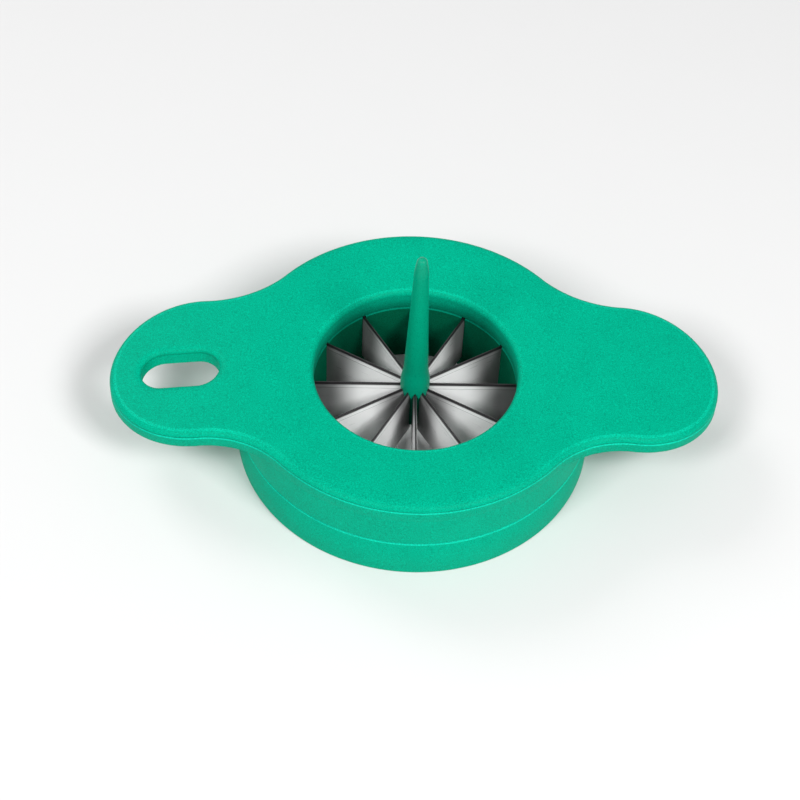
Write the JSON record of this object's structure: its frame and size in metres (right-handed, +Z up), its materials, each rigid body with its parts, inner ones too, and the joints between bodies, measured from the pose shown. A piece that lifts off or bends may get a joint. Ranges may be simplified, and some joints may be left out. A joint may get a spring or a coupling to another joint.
{
  "type": "scallion cutter",
  "caption": "Palm-size push-through scallion cutter: green plastic cap with two finger lobes, a round mouth of upright steel blades and a pointed centre guide.",
  "frame": {"origin": "middle of the base's underside, on the axis of the mouth and of the guide", "axes": "+Z up along the guide, X along the two finger lobes with the slotted lobe at -X, +Y towards the back"},
  "size_m": [0.075, 0.0444, 0.0313],
  "materials": {
    "cover_plastic": "fine matte grain",
    "shell_plastic": "fine matte grain",
    "base_plastic": "fine matte grain",
    "carrier_plastic": "smooth matte",
    "guide_plastic": "smooth matte",
    "blade_steel": "bright polished"
  },
  "bodies": {
    "root": {"top_cover": "cover_plastic", "handle_shell": "shell_plastic", "base_ring": "base_plastic", "blade_carrier": "carrier_plastic", "centre_guide": "guide_plastic", "blade_01": "blade_steel", "blade_02": "blade_steel", "blade_03": "blade_steel", "blade_04": "blade_steel", "blade_05": "blade_steel", "blade_06": "blade_steel", "blade_07": "blade_steel", "blade_08": "blade_steel", "blade_09": "blade_steel", "blade_10": "blade_steel", "blade_11": "blade_steel", "blade_12": "blade_steel"}
  },
  "joints": []
}
